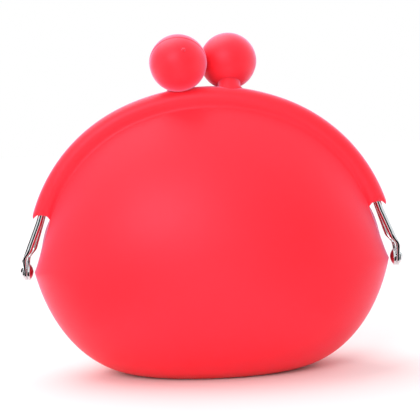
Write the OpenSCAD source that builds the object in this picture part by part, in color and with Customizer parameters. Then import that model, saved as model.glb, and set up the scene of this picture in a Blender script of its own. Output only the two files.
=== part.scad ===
// Clasp coin purse: a moulded silicone pouch on a hinged two-part steel frame, shut by two
// balls that snap past each other. The front of the purse faces -Y and it stands on Z = 0.

/* [Overall] */
// Width over the outer rivet heads
overall_w = 100; // [96:0.5:104]
// Height of the hinge axis above the face that the purse stands on
hinge_h = 28; // [25:0.5:32]

/* [Pouch] */
// Front to back depth of the belly at hinge level
belly_depth = 46; // [40:0.5:52]
// Thickness of the silicone wall
wall_t = 1.8; // [1.2:0.1:2.4]
// Thickness of the silicone floor
floor_t = 2.4; // [1.6:0.1:3.2]
// Width of the flat that the purse stands on
foot_w = 36; // [28:0.5:44]
// Front to back depth of the flat that the purse stands on
foot_depth = 18; // [12:0.5:24]
// How far the sides tuck in below the hinges, as a share of the half width
side_tuck = 0.09; // [0.04:0.01:0.14]
// Gap between the pouch and the rivet heads beside it
side_gap = 0.35; // [0.2:0.05:0.8]
// Gap between the rim of the pouch and the two walls above it
seam_gap = 0.2; // [0.1:0.05:0.4]

/* [Arch] */
// Height of the top of the arch above the hinge axis
arch_h = 46.5; // [44:0.5:50]
// Radius of the crown of the arch, over the silicone
crown_r = 58; // [55:0.5:64]
// Radius of the shoulders of the arch, over the silicone
shoulder_r = 43.5; // [38:0.5:45]
// How far the hinges reach past the shoulders on each side
hinge_reach = 2.6; // [1.8:0.1:3.6]
// Height above the hinge axis at which the silicone sleeves end
sleeve_end_h = 13; // [11:0.5:16]

/* [Sleeves] */
// Diameter of a silicone sleeve
sleeve_d = 5.8; // [5.4:0.1:6.4]
// Gap between the front and the back sleeve
lip_gap = 0.3; // [0.2:0.05:0.6]
// Clearance between a sleeve and the steel inside it
tunnel_gap = 0.08; // [0.04:0.02:0.14]
// Depth of the arched notch in a sleeve end
notch_depth = 1.1; // [0.6:0.1:1.6]
// How far that notch reaches past the steel on each side
notch_room = 0.5; // [0.4:0.1:0.8]

/* [Walls] */
// Where the outside of a wall meets its sleeve, in degrees from straight in
attach_a = 52; // [45:1:60]
// Degrees round the sleeve from the outside of a wall to its inside
attach_span = 40; // [30:1:44]
// Gap between a wall and its sleeve, which are one moulding
wall_gap = 0.14; // [0.1:0.01:0.2]
// Where the side edge of a wall begins, as a share of the way from the middle to the end
edge_start = 0.84; // [0.8:0.01:0.9]
// How far the top of the side edge lies inside the line of the arch
edge_inset = 1.7; // [1.2:0.1:2.2]
// How far the top edge dips between the sleeve and the side edge
edge_dip = 1.4; // [0.8:0.1:1.8]
// How far the side edges stay from the middle plane of the purse
edge_room = 0.4; // [0.3:0.05:0.8]
// How upright the wall rises from the belly, as a share of its height
belly_rise = 0.42; // [0.3:0.01:0.5]
// How far the wall follows the slope at its sleeve, as a share of its height
top_follow = 0.3; // [0.2:0.01:0.4]

/* [Steel frame] */
// Width of the channel, front to back
channel_w = 3.2; // [2.8:0.1:3.6]
// Depth of the channel, from its web to its lips
channel_d = 1.6; // [1.4:0.1:2.2]
// Thickness of the steel sheet
sheet_t = 0.7; // [0.6:0.05:0.8]
// Outer radius of the rolled edges of the channel
roll_r = 1.1; // [1:0.05:1.3]
// Height above the hinge axis at which the channel ends and the flat ear begins
channel_end_h = 6.6; // [5.6:0.1:8]
// Length over which the lips of the channel run out
taper_len = 1.6; // [0.8:0.1:2.4]
// Height above the hinge axis of the bend in the ear
knee_h = 3.6; // [3.2:0.1:4.6]
// Radius of the round end of an ear
ear_r = 2.3; // [2.1:0.1:2.6]
// Gap between the front and the back ear
ear_gap = 0.15; // [0.1:0.05:0.3]
// Radius of the pressed boss on the outer ear
boss_r = 0.8; // [0.5:0.1:0.9]
// Height of the pressed boss on the outer ear
boss_h = 0.45; // [0.3:0.05:0.6]
// Height above the hinge axis of the pressed boss
boss_up = 2.8; // [2.7:0.05:3]

/* [Rivets] */
// Radius of the rivet shank
shank_r = 1; // [0.8:0.05:1.1]
// Running clearance of the shank in the front ear
shank_gap = 0.05; // [0.02:0.01:0.09]
// Clearance of the shank in the back ear, which it is set in
set_gap = 0.02; // [0.01:0.01:0.03]
// Radius of the inner rivet head
inner_head_r = 2.05; // [1.7:0.05:2.2]
// Height of the inner rivet head
inner_head_h = 0.7; // [0.5:0.05:0.9]
// Radius of the outer rivet head
outer_head_r = 1.35; // [1.2:0.05:1.6]
// Height of the outer rivet head
outer_head_h = 0.8; // [0.5:0.05:0.9]
// Radius of the washer under the outer head
washer_r = 1.75; // [1.5:0.05:1.9]
// Thickness of the washer
washer_t = 0.3; // [0.2:0.05:0.4]
// Play between the washer and the front ear
washer_play = 0.05; // [0.03:0.01:0.1]

/* [Clasp] */
// Diameter of a covered ball
ball_d = 14.9; // [14:0.1:15.2]
// Diameter of the bead inside a ball
core_d = 11; // [9:0.1:12]
// Height of the ball centres above the top of the arch
ball_up = 6.05; // [5.9:0.05:7.5]
// Distance between the ball centres along the arch
ball_pitch = 13; // [12.6:0.1:13.6]
// How far each ball leans over the other sleeve, from the middle
ball_lean = 3.9; // [3.6:0.1:5]
// Radius of the stud that carries a ball
stud_r = 1.3; // [1:0.05:1.6]
// Clearance of the stud in the silicone
stud_gap = 0.05; // [0.03:0.01:0.1]
// Radius of the neck where it leaves the sleeve
neck_foot_r = 3.45; // [3.2:0.05:3.8]
// Radius of the neck where it meets the ball
neck_top_r = 3; // [2.7:0.05:3.4]
// Clearance between a ball or a neck and the other frame's sleeve
clasp_gap = 0.15; // [0.1:0.05:0.3]
// Clearance between a bead and its cover
core_gap = 0.05; // [0.03:0.01:0.1]

/* [Hidden] */
$fn = 64;

SILICONE = [1, 0.27, 0.34];
STEEL = [0.8, 0.82, 0.83];
BEAD = [0.6, 0.62, 0.64];

// Columns across a wall, rows up a wall, rings down the bowl
WALL_COLS = 32;
WALL_ROWS = 12;
BOWL_RINGS = 12;
// Stations of a sweep along the crown and along each shoulder
CROWN_STEPS = 6;
SHOULDER_STEPS = 14;
eps = 0.01;

// Stack of each hinge, from the outside in, along X
head_x = overall_w / 2 - outer_head_h;
washer_x = head_x - washer_t;
front_ear_x = washer_x - washer_play;
back_ear_x = front_ear_x - sheet_t - ear_gap;
inner_x = back_ear_x - sheet_t;
pouch_half_w = inner_x - inner_head_h - side_gap;

// Centreline of the arch: a crown arc and two shoulder arcs that run on into it
sleeve_r = sleeve_d / 2;
frame_y = sleeve_r + lip_gap / 2;
crown_line_r = crown_r - sleeve_r;
shoulder_line_r = shoulder_r - sleeve_r;
shoulder_x = overall_w / 2 - hinge_reach - shoulder_r;
crown_z = arch_h - crown_r;
shoulder_z = crown_z + sqrt(pow(crown_r - shoulder_r, 2) - pow(shoulder_x, 2));
join_a = asin(shoulder_x / (crown_r - shoulder_r));
sleeve_end_a = acos((sleeve_end_h - shoulder_z) / shoulder_line_r);
channel_end_a = sleeve_end_a - notch_depth / 4 / shoulder_line_r * 180 / PI;

// Point of the arch at an angle from straight up, at an offset out from the centreline
function arch_pt(a, off = 0) =
    let (s = sign(a), b = abs(a))
    b < join_a
        ? [(crown_line_r + off) * sin(a), crown_z + (crown_line_r + off) * cos(a)]
        : [s * (shoulder_x + (shoulder_line_r + off) * sin(b)),
           shoulder_z + (shoulder_line_r + off) * cos(b)];

// Balls and studs, relative to the hinge axis
ball_r = ball_d / 2;
ball_x = ball_pitch / 2;
ball_z = arch_h + ball_up;
stud_line_a = asin(ball_x / crown_line_r);
stud_foot = [0, 0, arch_pt(stud_line_a)[1] + channel_d / 2 - sheet_t];
stud_run = [ball_lean + frame_y, ball_z - stud_foot[2]];
stud_tilt = atan2(stud_run[0], stud_run[1]);
stud_len = norm(stud_run);

function mix(a, b, t) = a + (b - a) * t;
function ease(t) = let (c = min(max(t, 0), 1)) c * c * (3 - 2 * c);
function bezier(p, t) =
    let (m = 1 - t)
    m * m * m * p[0] + 3 * m * m * t * p[1] + 3 * m * t * t * p[2] + t * t * t * p[3];

// Draws its children on both sides of the purse
module both_sides() {
    children();
    mirror([1, 0, 0]) children();
}

// Moves its children from the hinge axis to their place over the floor
module on_hinge() {
    translate([0, 0, hinge_h]) children();
}

// Turns the front of the purse into its back, with the balls changing sides as well
module as_back() {
    rotate([0, 0, 180]) children();
}

// Angles of the stations along the arch, from one end to the other
function arch_angles(end_a) = concat(
    [for (i = [0:SHOULDER_STEPS - 1]) mix(-end_a, -join_a, i / SHOULDER_STEPS)],
    [for (i = [0:CROWN_STEPS]) mix(-join_a, join_a, i / CROWN_STEPS)],
    [for (i = [1:SHOULDER_STEPS]) mix(join_a, end_a, i / SHOULDER_STEPS)]
);

// Round bar along the crown, which a ball or a neck is shaped round
module crown_bar(r) {
    translate([0, 0, crown_z]) rotate([90, 0, 0]) rotate([0, 0, 90 - join_a])
        rotate_extrude(angle = 2 * join_a) translate([crown_line_r, 0]) circle(r);
}

// Side faces between rings of n points, numbered ring after ring
function side_faces(rings, n) = [
    for (k = [0:rings - 2], i = [0:n - 1], f = [0, 1])
        let (a = k * n, b = a + n, j = (i + 1) % n)
        f == 0 ? [a + i, b + i, b + j] : [a + i, b + j, a + j]
];
function reversed(faces) = [for (f = faces) [f[2], f[1], f[0]]];
function shifted(faces, by) = [for (f = faces) [for (v = f) v + by]];

// Pouch

// Radial and height shares of the bowl's meridian, from the rim to the foot
function bowl_share(side, foot, t) =
    bezier([[1, 0], [1 - side_tuck * side, 0.55], [0.75, 1], [foot, 1]], t);

// One ring of the bowl: half width, half depth, depth below the rim, share along the meridian
function bowl_ring(a, b, depth, foot, t, n) = [
    for (i = [0:n - 1])
        let (
            phi = 360 * i / n,
            flat = foot_share(phi, a, b, foot),
            s = bowl_share(pow(sin(phi), 2), flat, t)
        )
        [a * s[0] * sin(phi), -b * s[0] * cos(phi), -seam_gap / 2 - depth * s[1]],
];

// Share of the radius at which the flat foot begins, round the bowl
function foot_share(phi, a, b, foot) =
    1 / norm([a * sin(phi) / foot[0], b * cos(phi) / foot[1]]);

module pouch() {
    n = 2 * WALL_COLS;
    half_d = belly_depth / 2;
    foot = [foot_w / 2, foot_depth / 2];
    deep = hinge_h - seam_gap / 2;
    outer = [for (k = [0:BOWL_RINGS])
        each bowl_ring(pouch_half_w, half_d, deep, foot, k / BOWL_RINGS, n)];
    inner = [for (k = [0:BOWL_RINGS])
        each bowl_ring(pouch_half_w - wall_t, half_d - wall_t, deep - floor_t, foot,
                       k / BOWL_RINGS, n)];
    shift = len(outer);
    band = [for (k = [0:BOWL_RINGS - 1], i = [0:n - 1])
        let (j = (i + 1) % n)
        [k * n + i, k * n + j, (k + 1) * n + j, (k + 1) * n + i]];
    quads = concat(
        [for (q = band) [q[0], q[1], q[2]]],
        [for (q = band) [q[0], q[2], q[3]]],
        [for (q = band) [q[2], q[1], q[0]] + [shift, shift, shift]],
        [for (q = band) [q[3], q[2], q[0]] + [shift, shift, shift]]
    );
    rim = [for (i = [0:n - 1], f = [0, 1])
        let (j = (i + 1) % n)
        f == 0 ? [i, shift + i, shift + j] : [i, shift + j, j]];
    foot_face = [for (i = [0:n - 1]) BOWL_RINGS * n + i];
    floor_face = [for (i = [n - 1:-1:0]) shift + BOWL_RINGS * n + i];
    color(SILICONE) on_hinge()
        polyhedron(concat(outer, inner), concat(quads, rim, [foot_face], [floor_face]));
}

// Walls

// Place on the round of a sleeve where a wall meets it: angle along the arch, angle round
function attach_pt(a, round_a) =
    let (
        r = (sleeve_r + wall_gap) / cos(attach_span / 2),
        p = arch_pt(a, -r * cos(round_a))
    )
    [p[0], -frame_y - r * sin(round_a), p[1]];

// Where a wall's side edge ends, under the end of its sleeve
function corner_pt(s, inset) =
    let (p = arch_pt(s * sleeve_end_a, -inset))
    [p[0], -lip_gap / 2 - edge_room, p[1] - edge_room];

// Top of one column of a wall, at u from -1 to 1 across it
function wall_top(u, round_a, inset) =
    let (
        w = ease((abs(u) - edge_start) / (1 - edge_start)),
        a = u * sleeve_end_a,
        dip = edge_dip * sin(180 * w) * [-sin(a), 0, -cos(a)]
    )
    mix(attach_pt(a, round_a), corner_pt(sign(u), inset), w) + dip;

// One column of a wall, from the rim of the pouch up to the sleeve
function wall_column(u, half_w, half_d, round_a, inset) =
    let (
        foot = [half_w * sin(90 * u), -half_d * cos(90 * u) - lip_gap / 2, seam_gap / 2],
        top = wall_top(u, round_a, inset),
        rise = norm(top - foot),
        a = u * sleeve_end_a,
        straight = pow(abs(u), 4),
        lift = mix([0, 0, belly_rise * rise], (top - foot) / 3, straight),
        down = [-sin(a) * cos(attach_a), -sin(attach_a), -cos(a) * cos(attach_a)],
        drop = mix(top_follow * rise * down, (foot - top) / 3, straight),
        curve = [foot, foot + lift, top + drop, top]
    )
    [for (k = [0:WALL_ROWS]) bezier(curve, k / WALL_ROWS)];

module wall() {
    cols = WALL_COLS + 1;
    rows = WALL_ROWS + 1;
    half_d = belly_depth / 2 - lip_gap / 2;
    us = [for (i = [0:WALL_COLS]) 2 * i / WALL_COLS - 1];
    outer = [for (u = us)
        each wall_column(u, pouch_half_w, half_d, attach_a, edge_inset)];
    inner = [for (u = us)
        each wall_column(u, pouch_half_w - wall_t, half_d - wall_t, attach_a - attach_span,
                         edge_inset + wall_t)];
    shift = len(outer);
    grid = [for (i = [0:cols - 2], k = [0:rows - 2])
        [i * rows + k, (i + 1) * rows + k, (i + 1) * rows + k + 1, i * rows + k + 1]];
    quads = concat(
        [for (q = grid) [q[2], q[1], q[0]]],
        [for (q = grid) [q[3], q[2], q[0]]],
        [for (q = grid) [q[0], q[1], q[2]] + [shift, shift, shift]],
        [for (q = grid) [q[0], q[2], q[3]] + [shift, shift, shift]]
    );
    border = concat(
        [for (i = [0:cols - 2]) i * rows],
        [for (k = [0:rows - 2]) (cols - 1) * rows + k],
        [for (i = [cols - 1:-1:1]) i * rows + rows - 1],
        [for (k = [rows - 1:-1:1]) k]
    );
    m = len(border);
    edge = [for (i = [0:m - 1], f = [0, 1])
        let (p = border[i], q = border[(i + 1) % m])
        f == 0 ? [p, q, shift + q] : [p, shift + q, shift + p]];
    color(SILICONE) on_hinge() polyhedron(concat(outer, inner), concat(quads, edge));
}

module front_wall() {
    wall();
}

module back_wall() {
    as_back() wall();
}

// Sleeves

// A ball's outline grown by a clearance; the front frame's ball is on the right
module ball_room(grow) {
    translate([ball_x, ball_lean, ball_z]) sphere(ball_r + grow);
}

// Runs along the stud from its foot; its children stand on the foot along Z
module along_stud() {
    translate([ball_x, -frame_y, stud_foot[2]]) rotate([-stud_tilt, 0, 0]) children();
}

// Ring of points round the arch: each is an offset outwards and a place across
function arch_ring(a, pts) = [for (p = pts) let (q = arch_pt(a, p[0])) [q[0], p[1], q[1]]];

// Outline of the tunnel as offsets outwards and across: square inside, rolled outside
function tunnel_pts() =
    let (
        d = channel_d / 2 + tunnel_gap,
        w = channel_w / 2 + tunnel_gap,
        r = roll_r + tunnel_gap,
        side = concat(
            [[-d, w], [-r / 2, w]],
            [for (i = [0:4]) let (q = 22.5 * i) [d - r + r * sin(q), w - r + r * cos(q)]]
        )
    )
    concat(
        side, [for (i = [len(side) - 1:-1:0]) [side[i][0], -side[i][1]]],
        [[-d, -w / 3], [-d, w / 3]]
    );

// Tube along the arch with the tunnel for the channel
module sleeve_tube() {
    tunnel = tunnel_pts();
    n = len(tunnel);
    angles = arch_angles(sleeve_end_a);
    turns = [for (i = [0:n - 1]) 180 - 360 * (i + 1.5) / n];
    outside = [for (t = turns) sleeve_r * [cos(t), sin(t)]];
    outer = [for (a = angles) each arch_ring(a, outside)];
    inner = [for (a = angles) each arch_ring(a, tunnel)];
    shift = len(outer);
    faces = side_faces(len(angles), n);
    cap = [for (i = [0:n - 1], f = [0, 1])
        let (j = (i + 1) % n)
        f == 0 ? [i, j, shift + j] : [i, shift + j, shift + i]];
    polyhedron(
        concat(outer, inner),
        concat(faces, reversed(shifted(faces, shift)), cap, reversed(shifted(cap, shift - n)))
    );
}

module sleeve() {
    end = arch_pt(sleeve_end_a);
    notch_r = channel_d / 2 + notch_room;
    color(SILICONE) on_hinge() difference() {
        translate([0, -frame_y, 0]) sleeve_tube();
        both_sides() translate([end[0], 0, end[1]]) rotate([0, sleeve_end_a - 90, 0])
            translate([0, 0, notch_depth - notch_r]) rotate([90, 0, 0])
            cylinder(r = notch_r, h = 4 * sleeve_r, center = true);
        along_stud() cylinder(r = stud_r + stud_gap, h = ball_r);
        rotate([0, 0, 180]) ball_room(clasp_gap);
    }
}

module front_sleeve() {
    sleeve();
}

module back_sleeve() {
    as_back() sleeve();
}

// Steel arches

// Section of the channel as [depth in from the web, place across] points, round its edge;
// at a depth of one sheet, with its roots drawn in, it is the flat strap of the ear
function channel_pts(w, d, r, root) =
    let (
        half = w / 2,
        t = sheet_t,
        roll = [for (i = [0:4]) let (q = 22.5 * i) [r - r * sin(q), half - r + r * cos(q)]]
    )
    concat(
        [[d, half]], roll, [for (i = [4:-1:0]) [roll[i][0], -roll[i][1]]],
        [[d, -half], [d, t - half], [t, root - half], [t, half - root], [d, half - t]]
    );
function full_pts() = channel_pts(channel_w, channel_d, roll_r, sheet_t);
function flat_pts(w) = channel_pts(w, sheet_t, sheet_t / 4, 2 * sheet_t);

// Triangles over the flat end of the strap, by the numbers of its section's points
STRAP_CAP = [
    [0, 1, 15], [1, 14, 15], for (i = [1:5]) [i, i + 1, 14], [6, 13, 14],
    for (i = [6:9]) [i, i + 1, 13], [10, 12, 13], [10, 11, 12],
];

// One station of the steel: web place in XZ, direction in from the web, place across, section
function steel_ring(web, inward, y, pts) = [
    for (p = pts) [web[0] + p[0] * inward[0], y + p[1], web[1] + p[0] * inward[1]]
];

// Stations of the right arm, from the end of the arch down into the round of the ear
function arm_rings(ear_x) =
    let (
        start = arch_pt(channel_end_a, channel_d / 2),
        flare = atan2(ear_x - start[0], start[1] - knee_h),
        inward = [-cos(flare), -sin(flare)],
        taper_h = channel_end_h + taper_len,
        knee_part = knee_h / channel_end_h,
        strap_w = 2 * ear_r - sheet_t / 2,
        on_arm = function (h) [ear_x - (h - knee_h) * tan(flare), h]
    )
    [
        steel_ring(on_arm(taper_h), inward, -frame_y, full_pts()),
        steel_ring(on_arm(channel_end_h), inward, -frame_y, flat_pts(channel_w)),
        steel_ring([ear_x, knee_h], [-1, 0], -frame_y * knee_part,
                   flat_pts(mix(strap_w, channel_w, knee_part))),
        steel_ring([ear_x, 0], [-1, 0], 0, flat_pts(strap_w)),
    ];

function mirrored(ring) = [for (p = ring) [-p[0], p[1], p[2]]];

// The whole formed strip: ear, arm, arch, arm, ear
module steel_strip(ear_x) {
    web = [for (p = full_pts()) [channel_d / 2 - p[0], p[1]]];
    right = arm_rings(ear_x);
    arch = [for (a = arch_angles(channel_end_a))
        [for (p = arch_ring(a, web)) p - [0, frame_y, 0]]];
    left = [for (i = [len(right) - 1:-1:0]) mirrored(right[i])];
    rings = concat(left, arch, right);
    n = len(web);
    last = n * (len(rings) - 1);
    polyhedron(
        [for (r = rings) each r],
        concat(
            reversed(side_faces(len(rings), n)),
            STRAP_CAP,
            reversed(shifted(STRAP_CAP, last))
        )
    );
}

// Domed head of a given radius and height, standing on Z = 0
module dome(r, h) {
    big = (r * r + h * h) / (2 * h);
    intersection() {
        translate([0, 0, h - big]) sphere(big);
        cylinder(r = r, h = h);
    }
}

module arch(ear_x, bore_r) {
    difference() {
        union() {
            steel_strip(ear_x);
            both_sides() translate([ear_x - sheet_t, 0, 0]) rotate([0, 90, 0])
                cylinder(r = ear_r, h = sheet_t);
        }
        rotate([0, 90, 0]) cylinder(r = bore_r, h = 2 * overall_w, center = true);
        along_stud() translate([0, 0, -stud_r]) cylinder(r = stud_r + set_gap, h = ball_r);
    }
}

module front_arch() {
    boss_y = -frame_y * boss_up / channel_end_h;
    color(STEEL) on_hinge() union() {
        arch(front_ear_x, shank_r + shank_gap);
        both_sides() translate([front_ear_x - eps, boss_y, boss_up]) rotate([0, 90, 0])
            dome(boss_r, boss_h);
    }
}

module back_arch() {
    color(STEEL) on_hinge() as_back() arch(back_ear_x, shank_r + set_gap);
}

// Clasp

module clasp_stud() {
    color(STEEL) on_hinge() along_stud() cylinder(r = stud_r, h = stud_len + stud_r);
}

module front_clasp_stud() {
    clasp_stud();
}

module back_clasp_stud() {
    as_back() clasp_stud();
}

module ball_core() {
    color(BEAD) on_hinge() difference() {
        translate([ball_x, ball_lean, ball_z]) sphere(core_d / 2);
        along_stud() cylinder(r = stud_r + set_gap, h = stud_len + stud_r + set_gap);
    }
}

module front_ball_core() {
    ball_core();
}

module back_ball_core() {
    as_back() ball_core();
}

// Silicone cover of a ball with its neck, seated on its own sleeve and clear of the other
module ball_cover() {
    color(SILICONE) on_hinge() difference() {
        union() {
            ball_room(0);
            along_stud() cylinder(r1 = neck_foot_r, r2 = neck_top_r, h = stud_len);
        }
        translate([ball_x, ball_lean, ball_z]) sphere(core_d / 2 + core_gap);
        along_stud() cylinder(r = stud_r + stud_gap, h = stud_len);
        translate([0, -frame_y, 0]) crown_bar(sleeve_r);
        translate([0, frame_y, 0]) crown_bar(sleeve_r + clasp_gap);
    }
}

module front_ball_cover() {
    ball_cover();
}

module back_ball_cover() {
    as_back() ball_cover();
}

// Hinges

// Rivet of the right hinge: a wide inner head, a shank through both ears, a small outer head
module rivet() {
    color(STEEL) on_hinge() rotate([0, 90, 0]) {
        translate([0, 0, inner_x]) mirror([0, 0, 1]) dome(inner_head_r, inner_head_h);
        translate([0, 0, inner_x]) cylinder(r = shank_r, h = head_x - inner_x);
        translate([0, 0, head_x]) dome(outer_head_r, outer_head_h);
    }
}

module washer() {
    color(STEEL) on_hinge() rotate([0, 90, 0]) translate([0, 0, washer_x]) difference() {
        cylinder(r = washer_r, h = washer_t);
        translate([0, 0, -washer_t]) cylinder(r = shank_r + set_gap, h = 3 * washer_t);
    }
}

module right_rivet() {
    rivet();
}

module left_rivet() {
    mirror([1, 0, 0]) rivet();
}

module right_washer() {
    washer();
}

module left_washer() {
    mirror([1, 0, 0]) washer();
}

pouch();
front_wall();
front_sleeve();
front_ball_cover();
front_arch();
front_clasp_stud();
front_ball_core();
back_wall();
back_sleeve();
back_ball_cover();
back_arch();
back_clasp_stud();
back_ball_core();
left_rivet();
right_rivet();
left_washer();
right_washer();
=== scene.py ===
"""Looks of a silicone coin purse with a ball clasp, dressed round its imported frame.

Sizes are in millimetres, apart from names that end in _m, which are in metres. The front of the
purse faces -Y, it stands on Z = 0, and both hinges lie on one line along X.
"""
from __future__ import annotations

import logging
import math
from dataclasses import dataclass, field
from enum import Enum

import bmesh
import bpy
import numpy as np
from mathutils import Matrix, Vector

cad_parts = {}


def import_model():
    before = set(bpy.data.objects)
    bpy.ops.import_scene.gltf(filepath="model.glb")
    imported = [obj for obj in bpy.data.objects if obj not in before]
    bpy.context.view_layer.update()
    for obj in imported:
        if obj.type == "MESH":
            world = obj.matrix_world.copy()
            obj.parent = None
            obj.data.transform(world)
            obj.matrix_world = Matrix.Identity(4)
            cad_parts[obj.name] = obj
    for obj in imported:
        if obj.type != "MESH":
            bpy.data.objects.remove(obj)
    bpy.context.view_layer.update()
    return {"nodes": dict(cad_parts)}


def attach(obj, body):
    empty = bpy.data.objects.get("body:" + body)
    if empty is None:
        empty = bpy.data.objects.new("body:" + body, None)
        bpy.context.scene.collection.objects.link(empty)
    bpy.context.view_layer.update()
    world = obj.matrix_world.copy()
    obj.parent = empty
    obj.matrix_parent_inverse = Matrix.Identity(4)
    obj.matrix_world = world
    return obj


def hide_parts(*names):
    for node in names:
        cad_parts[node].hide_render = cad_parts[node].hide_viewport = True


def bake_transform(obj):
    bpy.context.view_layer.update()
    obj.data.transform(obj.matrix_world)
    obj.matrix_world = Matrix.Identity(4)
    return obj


LOG = logging.getLogger("purse")
MM = 0.001
WELD_MM = 1e-4
FRONT_EAR_X = 48.85
BACK_EAR_X = 48.0


class Side(Enum):
    """Which half of the purse a piece belongs to, with the sign of its turn about Z."""

    FRONT = "front"
    BACK = "back"

    @property
    def turn(self) -> float:
        """1 for the front and -1 for the back, which is the front turned half round."""
        return 1.0 if self is Side.FRONT else -1.0

    @property
    def body(self) -> str:
        """Name of the body that this half rides on."""
        return f"{self.value}_frame"


class Slot(Enum):
    """Names of the material slots, which nothing in the script uses."""

    SILICONE = "silicone"
    CHROME = "chrome_steel"
    BEAD = "bead_steel"


def ease(t: np.ndarray | float) -> np.ndarray | float:
    """Smooth step from 0 to 1."""
    c = np.clip(t, 0.0, 1.0)
    return c * c * (3.0 - 2.0 * c)


def mix(a: np.ndarray | float, b: np.ndarray | float, t: float) -> np.ndarray | float:
    """Value between a and b at share t."""
    return a + (b - a) * t


def bezier(points: list[np.ndarray], t: np.ndarray) -> np.ndarray:
    """Points of a cubic Bezier curve.

    Args:
        points: The four control points.
        t: Parameters from 0 to 1.

    Returns:
        One row for each parameter.
    """
    t = np.asarray(t, float)[:, None]
    m = 1.0 - t
    a, b, c, d = (np.asarray(p, float) for p in points)
    return m**3 * a + 3 * m * m * t * b + 3 * m * t * t * c + t**3 * d


@dataclass
class MeshDraft:
    """Vertices in millimetres and faces, gathered before a Blender mesh is made."""

    points: list[np.ndarray] = field(default_factory=list)
    faces: list[tuple[int, ...]] = field(default_factory=list)
    count: int = 0

    def add(self, rows: np.ndarray) -> int:
        """Adds points.

        Args:
            rows: One point a row.

        Returns:
            The number of the first point added.
        """
        first = self.count
        self.points.append(np.asarray(rows, float).reshape(-1, 3))
        self.count += len(self.points[-1])
        return first

    def grid(self, rows: np.ndarray, closed: bool = False) -> np.ndarray:
        """Adds a grid of points with its quads.

        Args:
            rows: Array of columns by rows by 3.
            closed: Whether the last row of each column joins the first.

        Returns:
            The point numbers, columns by rows.
        """
        cols, n, _ = rows.shape
        ids = self.add(rows) + np.arange(cols * n).reshape(cols, n)
        last = n if closed else n - 1
        for i in range(cols - 1):
            for k in range(last):
                j = (k + 1) % n
                self.faces.append((ids[i, k], ids[i + 1, k], ids[i + 1, j], ids[i, j]))
        return ids

    def fill(self, ring: list[int] | np.ndarray) -> None:
        """Adds one face round a ring of point numbers."""
        self.faces.append(tuple(int(i) for i in ring))

    def turn(self, side: Side) -> None:
        """Turns all points half round Z if the side is the back."""
        self.points = [p * np.array([side.turn, side.turn, 1.0]) for p in self.points]

    def build(self, name: str, crease_deg: float = 180.0) -> bpy.types.Object:
        """Makes a Blender object of the draft, in metres.

        Args:
            name: Name of the object.
            crease_deg: Edges sharper than this are shaded sharp.

        Returns:
            The object, linked to the scene.
        """
        bm = bmesh.new()
        verts = [bm.verts.new(Vector(p) * MM) for p in np.concatenate(self.points)]
        for face in self.faces:
            ring = list(dict.fromkeys(face))
            if len(ring) > 2:
                bm.faces.new([verts[i] for i in ring])
        bmesh.ops.remove_doubles(bm, verts=bm.verts, dist=WELD_MM * MM)
        bmesh.ops.dissolve_degenerate(bm, edges=bm.edges, dist=WELD_MM * MM)
        ngons = [f for f in bm.faces if len(f.verts) > 4]
        bmesh.ops.triangulate(bm, faces=ngons)
        bmesh.ops.recalc_face_normals(bm, faces=bm.faces)
        mesh = bpy.data.meshes.new(name)
        bm.to_mesh(mesh)
        bm.free()
        mesh.shade_smooth()
        if crease_deg < 180.0:
            mesh.set_sharp_from_angle(angle=math.radians(crease_deg))
        obj = bpy.data.objects.new(name, mesh)
        bpy.context.scene.collection.objects.link(obj)
        return obj


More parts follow.
